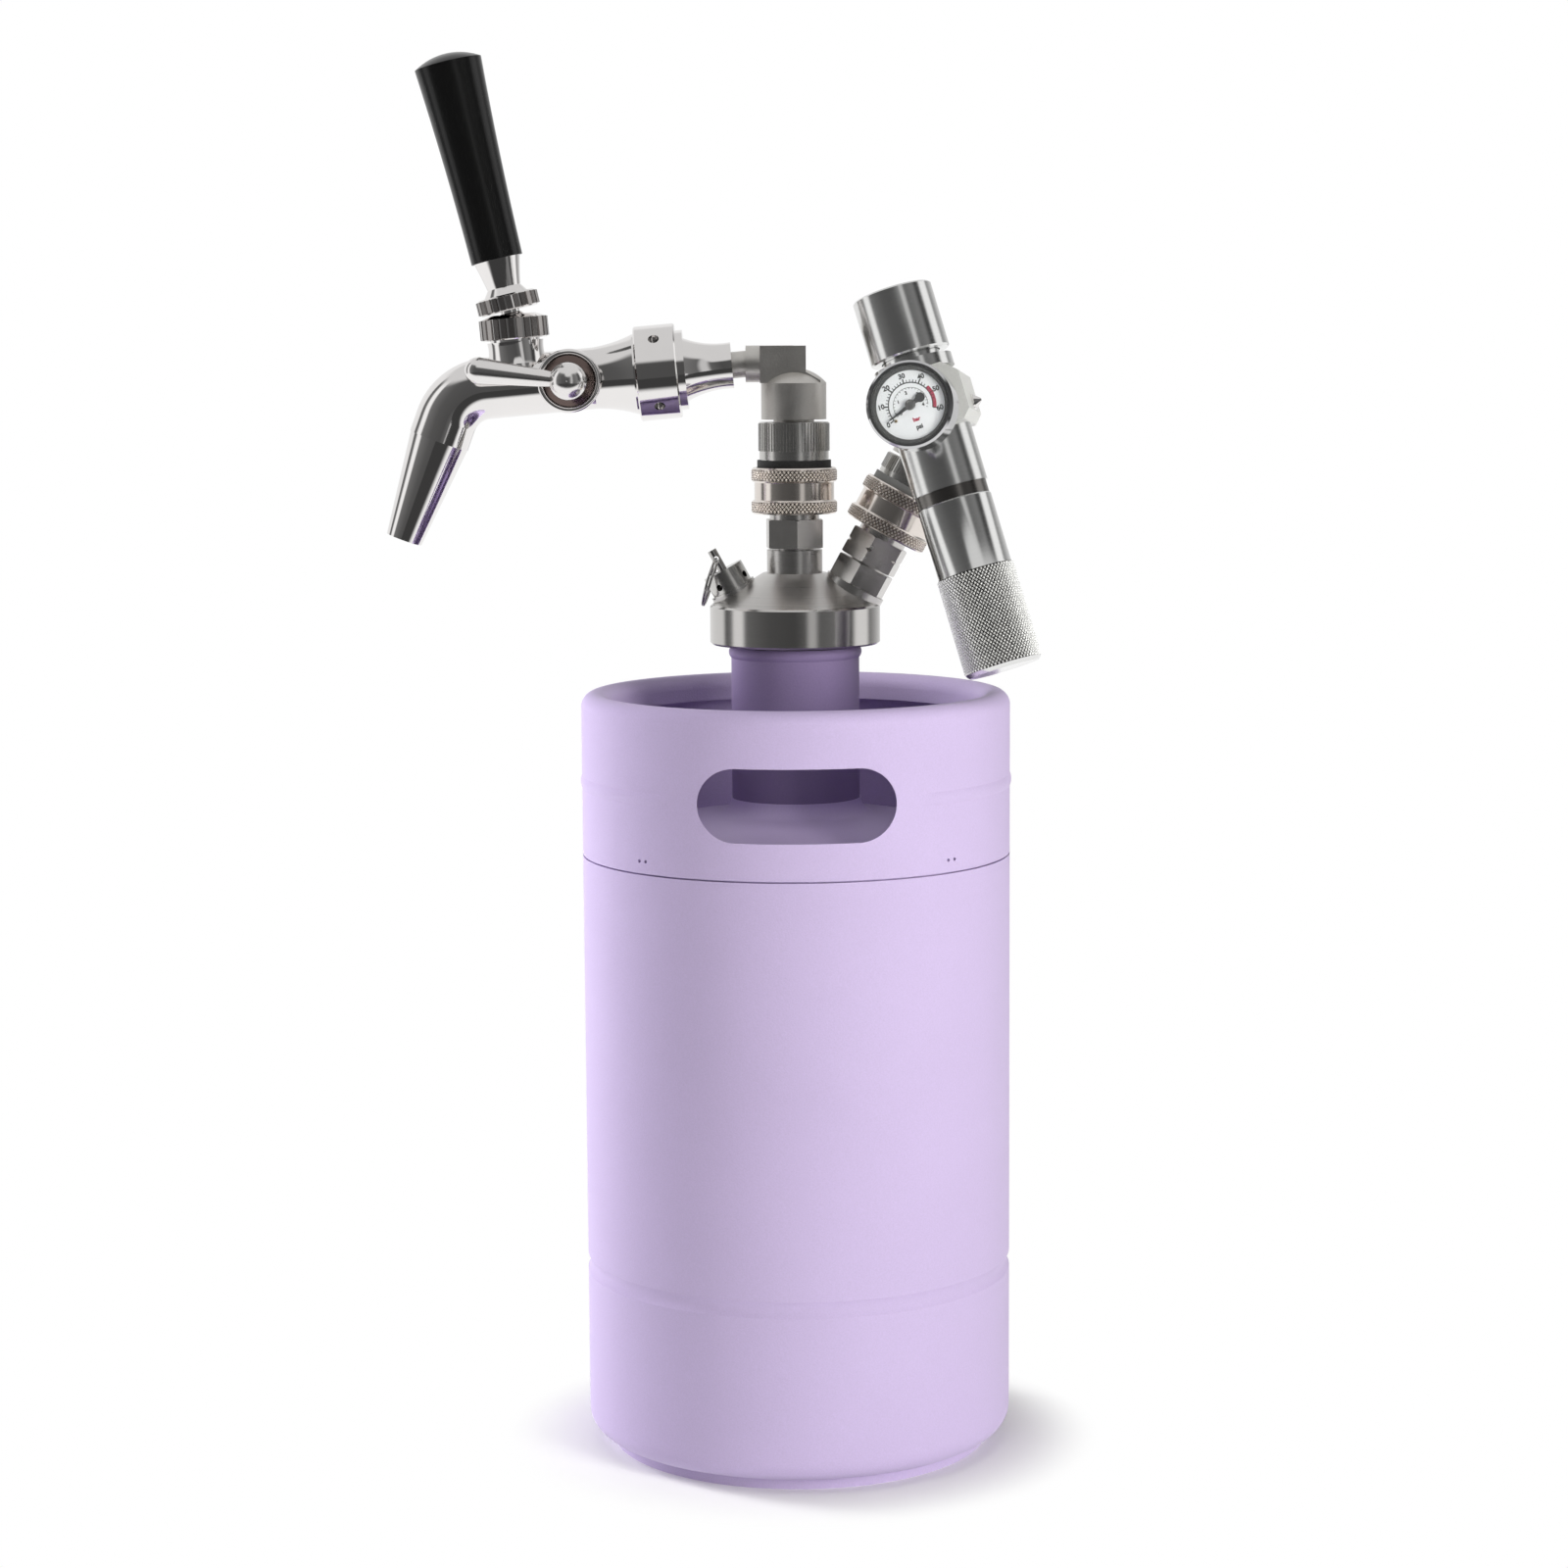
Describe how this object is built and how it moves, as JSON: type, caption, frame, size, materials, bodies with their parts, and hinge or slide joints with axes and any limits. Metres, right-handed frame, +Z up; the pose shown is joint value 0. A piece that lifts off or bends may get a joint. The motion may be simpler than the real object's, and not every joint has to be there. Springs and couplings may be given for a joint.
{
  "type": "insulated mini keg",
  "caption": "Insulated mini keg with a screw head, ball-lock flow-control tap, relief valve, and a cartridge gas regulator with gauge; it stores and pours carbonated drinks.",
  "frame": {"origin": "centre of the foot ring on the floor", "axes": "+Z up the keg's axis, -Y to the front handle slot and the gauge, tap towards -X"},
  "size_m": [0.2395, 0.16, 0.5199],
  "materials": {
    "powder_coat": "matte",
    "stainless": "satin",
    "nickel": "knurled",
    "spring_steel": "drawn",
    "bright_metal": "polished",
    "black_gloss": "gloss",
    "black_rubber": "matte",
    "grey_rubber": "matte",
    "acetal": "satin",
    "aluminium": "satin",
    "dial_white": "printed",
    "needle_black": "matte",
    "window": "clear"
  },
  "bodies": {
    "keg": {"outer_shell": "powder_coat", "foot_ring": "powder_coat", "vacuum_cap": "stainless", "inner_vessel": "stainless", "neck_tube": "powder_coat", "top_collar": "powder_coat"},
    "gasket": {"cap_gasket": "black_rubber"},
    "head": {"cap_body": "stainless", "spear_tube": "stainless", "liquid_post": "stainless", "gas_adapter": "stainless", "gas_post": "stainless", "post_orings": "black_rubber", "post_poppets": "stainless", "poppet_springs": "spring_steel", "prv_body": "stainless", "prv_spring": "spring_steel"},
    "relief_pin": {"prv_pin": "stainless", "prv_seal": "black_rubber"},
    "relief_ring": {"prv_ring": "stainless"},
    "tap": {"liquid_disconnect": "stainless", "liquid_lock_balls": "stainless", "liquid_bumper_ring": "black_rubber", "liquid_collar_spring": "spring_steel", "liquid_elbow": "stainless", "tap_shank": "bright_metal", "shank_washer": "black_rubber", "coupling_nut": "bright_metal", "tap_body": "bright_metal", "nozzle": "bright_metal", "bonnet_ring": "bright_metal", "flow_gland": "bright_metal"},
    "liquid_sleeve": {"liquid_collar": "nickel"},
    "handle": {"tap_lever": "bright_metal", "lever_ring": "bright_metal", "handle_ferrule": "bright_metal", "handle_grip": "black_gloss"},
    "plunger": {"tap_plunger": "acetal", "plunger_seal": "black_rubber"},
    "flow_control": {"flow_lever": "bright_metal"},
    "restrictor": {"flow_restrictor": "acetal"},
    "regulator": {"gas_disconnect": "stainless", "gas_lock_balls": "stainless", "gas_bumper_ring": "grey_rubber", "gas_collar_spring": "spring_steel", "gas_elbow": "stainless", "regulator_body": "aluminium", "regulator_bonnet": "aluminium", "regulator_piston": "aluminium", "regulator_spring": "spring_steel", "relief_valve": "bright_metal", "gauge_case": "bright_metal", "gauge_dial": "dial_white", "gauge_lens": "window"},
    "gas_sleeve": {"gas_collar": "nickel"},
    "follower": {"spring_plate": "aluminium"},
    "knob": {"regulator_knob": "aluminium"},
    "needle": {"gauge_needle": "needle_black"},
    "cartridge": {"co2_cartridge": "stainless"},
    "holder": {"cartridge_sleeve": "aluminium"}
  },
  "joints": [
    {"name": "head_lift", "type": "slide", "parent": "keg", "child": "gasket", "axis": [0, 0, 1], "range_m": [0, 0.0091]},
    {"name": "head_unscrew", "type": "hinge", "parent": "gasket", "child": "head", "pos_m": [0, 0, 0.3027], "axis": [0, 0, 1], "range_deg": [0, 1080]},
    {"name": "relief_pull", "type": "slide", "parent": "head", "child": "relief_pin", "axis": [-0.4818, 0, 0.8763], "range_m": [0, 0.003], "stiffness_N_per_m": 2500, "springref_m": -0.004, "deforming": ["prv_spring"]},
    {"name": "relief_ring_swing", "type": "hinge", "parent": "relief_pin", "child": "relief_ring", "pos_m": [-0.02915, 0, 0.33432], "axis": [0, 1, 0], "range_deg": [0, 75]},
    {"name": "tap_swivel", "type": "hinge", "parent": "head", "child": "tap", "pos_m": [0, 0, 0.3624], "axis": [0, 0, 1], "range_deg": [-100, 45]},
    {"name": "liquid_collar_lift", "type": "slide", "parent": "tap", "child": "liquid_sleeve", "axis": [0, 0, 1], "range_m": [0, 0.003], "stiffness_N_per_m": 3000, "springref_m": -0.003, "deforming": ["liquid_collar_spring"]},
    {"name": "handle_tilt", "type": "hinge", "parent": "tap", "child": "handle", "pos_m": [-0.10305, 0, 0.42011], "axis": [0, -1, 0], "range_deg": [-18, 0]},
    {"name": "plunger_slide", "type": "slide", "parent": "tap", "child": "plunger", "axis": [-0.9962, 0, -0.0872], "range_m": [-0.0001, 0.00675]},
    {"name": "flow_turn", "type": "hinge", "parent": "tap", "child": "flow_control", "pos_m": [-0.08215, 0, 0.40046], "axis": [0, 1, 0], "range_deg": [-97, 83]},
    {"name": "restrictor_slide", "type": "slide", "parent": "tap", "child": "restrictor", "axis": [-0.9962, 0, -0.0872], "range_m": [-0.00226, 0.00194]},
    {"name": "regulator_swivel", "type": "hinge", "parent": "head", "child": "regulator", "pos_m": [0.03877, 0, 0.35326], "axis": [0.4818, 0, 0.8763], "range_deg": [-25, 8]},
    {"name": "gas_collar_lift", "type": "slide", "parent": "regulator", "child": "gas_sleeve", "axis": [0.4818, 0, 0.8763], "range_m": [0, 0.003], "stiffness_N_per_m": 3000, "springref_m": -0.003, "deforming": ["gas_collar_spring"]},
    {"name": "follower_slide", "type": "slide", "parent": "regulator", "child": "follower", "axis": [0.278, -0.1691, -0.9456], "range_m": [0, 0.00155], "deforming": ["regulator_spring"]},
    {"name": "knob_turn", "type": "hinge", "parent": "follower", "child": "knob", "pos_m": [0.03974, -0.02987, 0.41658], "axis": [0.278, -0.1691, -0.9456], "range_deg": [0, 540]},
    {"name": "needle_turn", "type": "hinge", "parent": "regulator", "child": "needle", "pos_m": [0.04076, -0.06988, 0.39199], "axis": [0.2061, 0.972, -0.1133], "range_deg": [0, 221]},
    {"name": "cartridge_slide", "type": "slide", "parent": "regulator", "child": "cartridge", "axis": [0.278, -0.1691, -0.9456], "range_m": [0, 0.0046]},
    {"name": "sleeve_unscrew", "type": "hinge", "parent": "cartridge", "child": "holder", "pos_m": [0.05739, -0.04061, 0.35653], "axis": [0.278, -0.1691, -0.9456], "range_deg": [0, 1080]}
  ],
  "couplings": [
    {"joint": "head_lift", "follows": "head_unscrew", "m_per_rad": 0.00047746},
    {"joint": "plunger_slide", "follows": "handle_tilt", "m_per_rad": -0.021176},
    {"joint": "restrictor_slide", "follows": "flow_turn", "m_per_rad": 0.0012732},
    {"joint": "follower_slide", "follows": "knob_turn", "m_per_rad": 0.00015915},
    {"joint": "needle_turn", "follows": "knob_turn", "ratio": 0.40741},
    {"joint": "cartridge_slide", "follows": "sleeve_unscrew", "m_per_rad": 0.00023873}
  ]
}
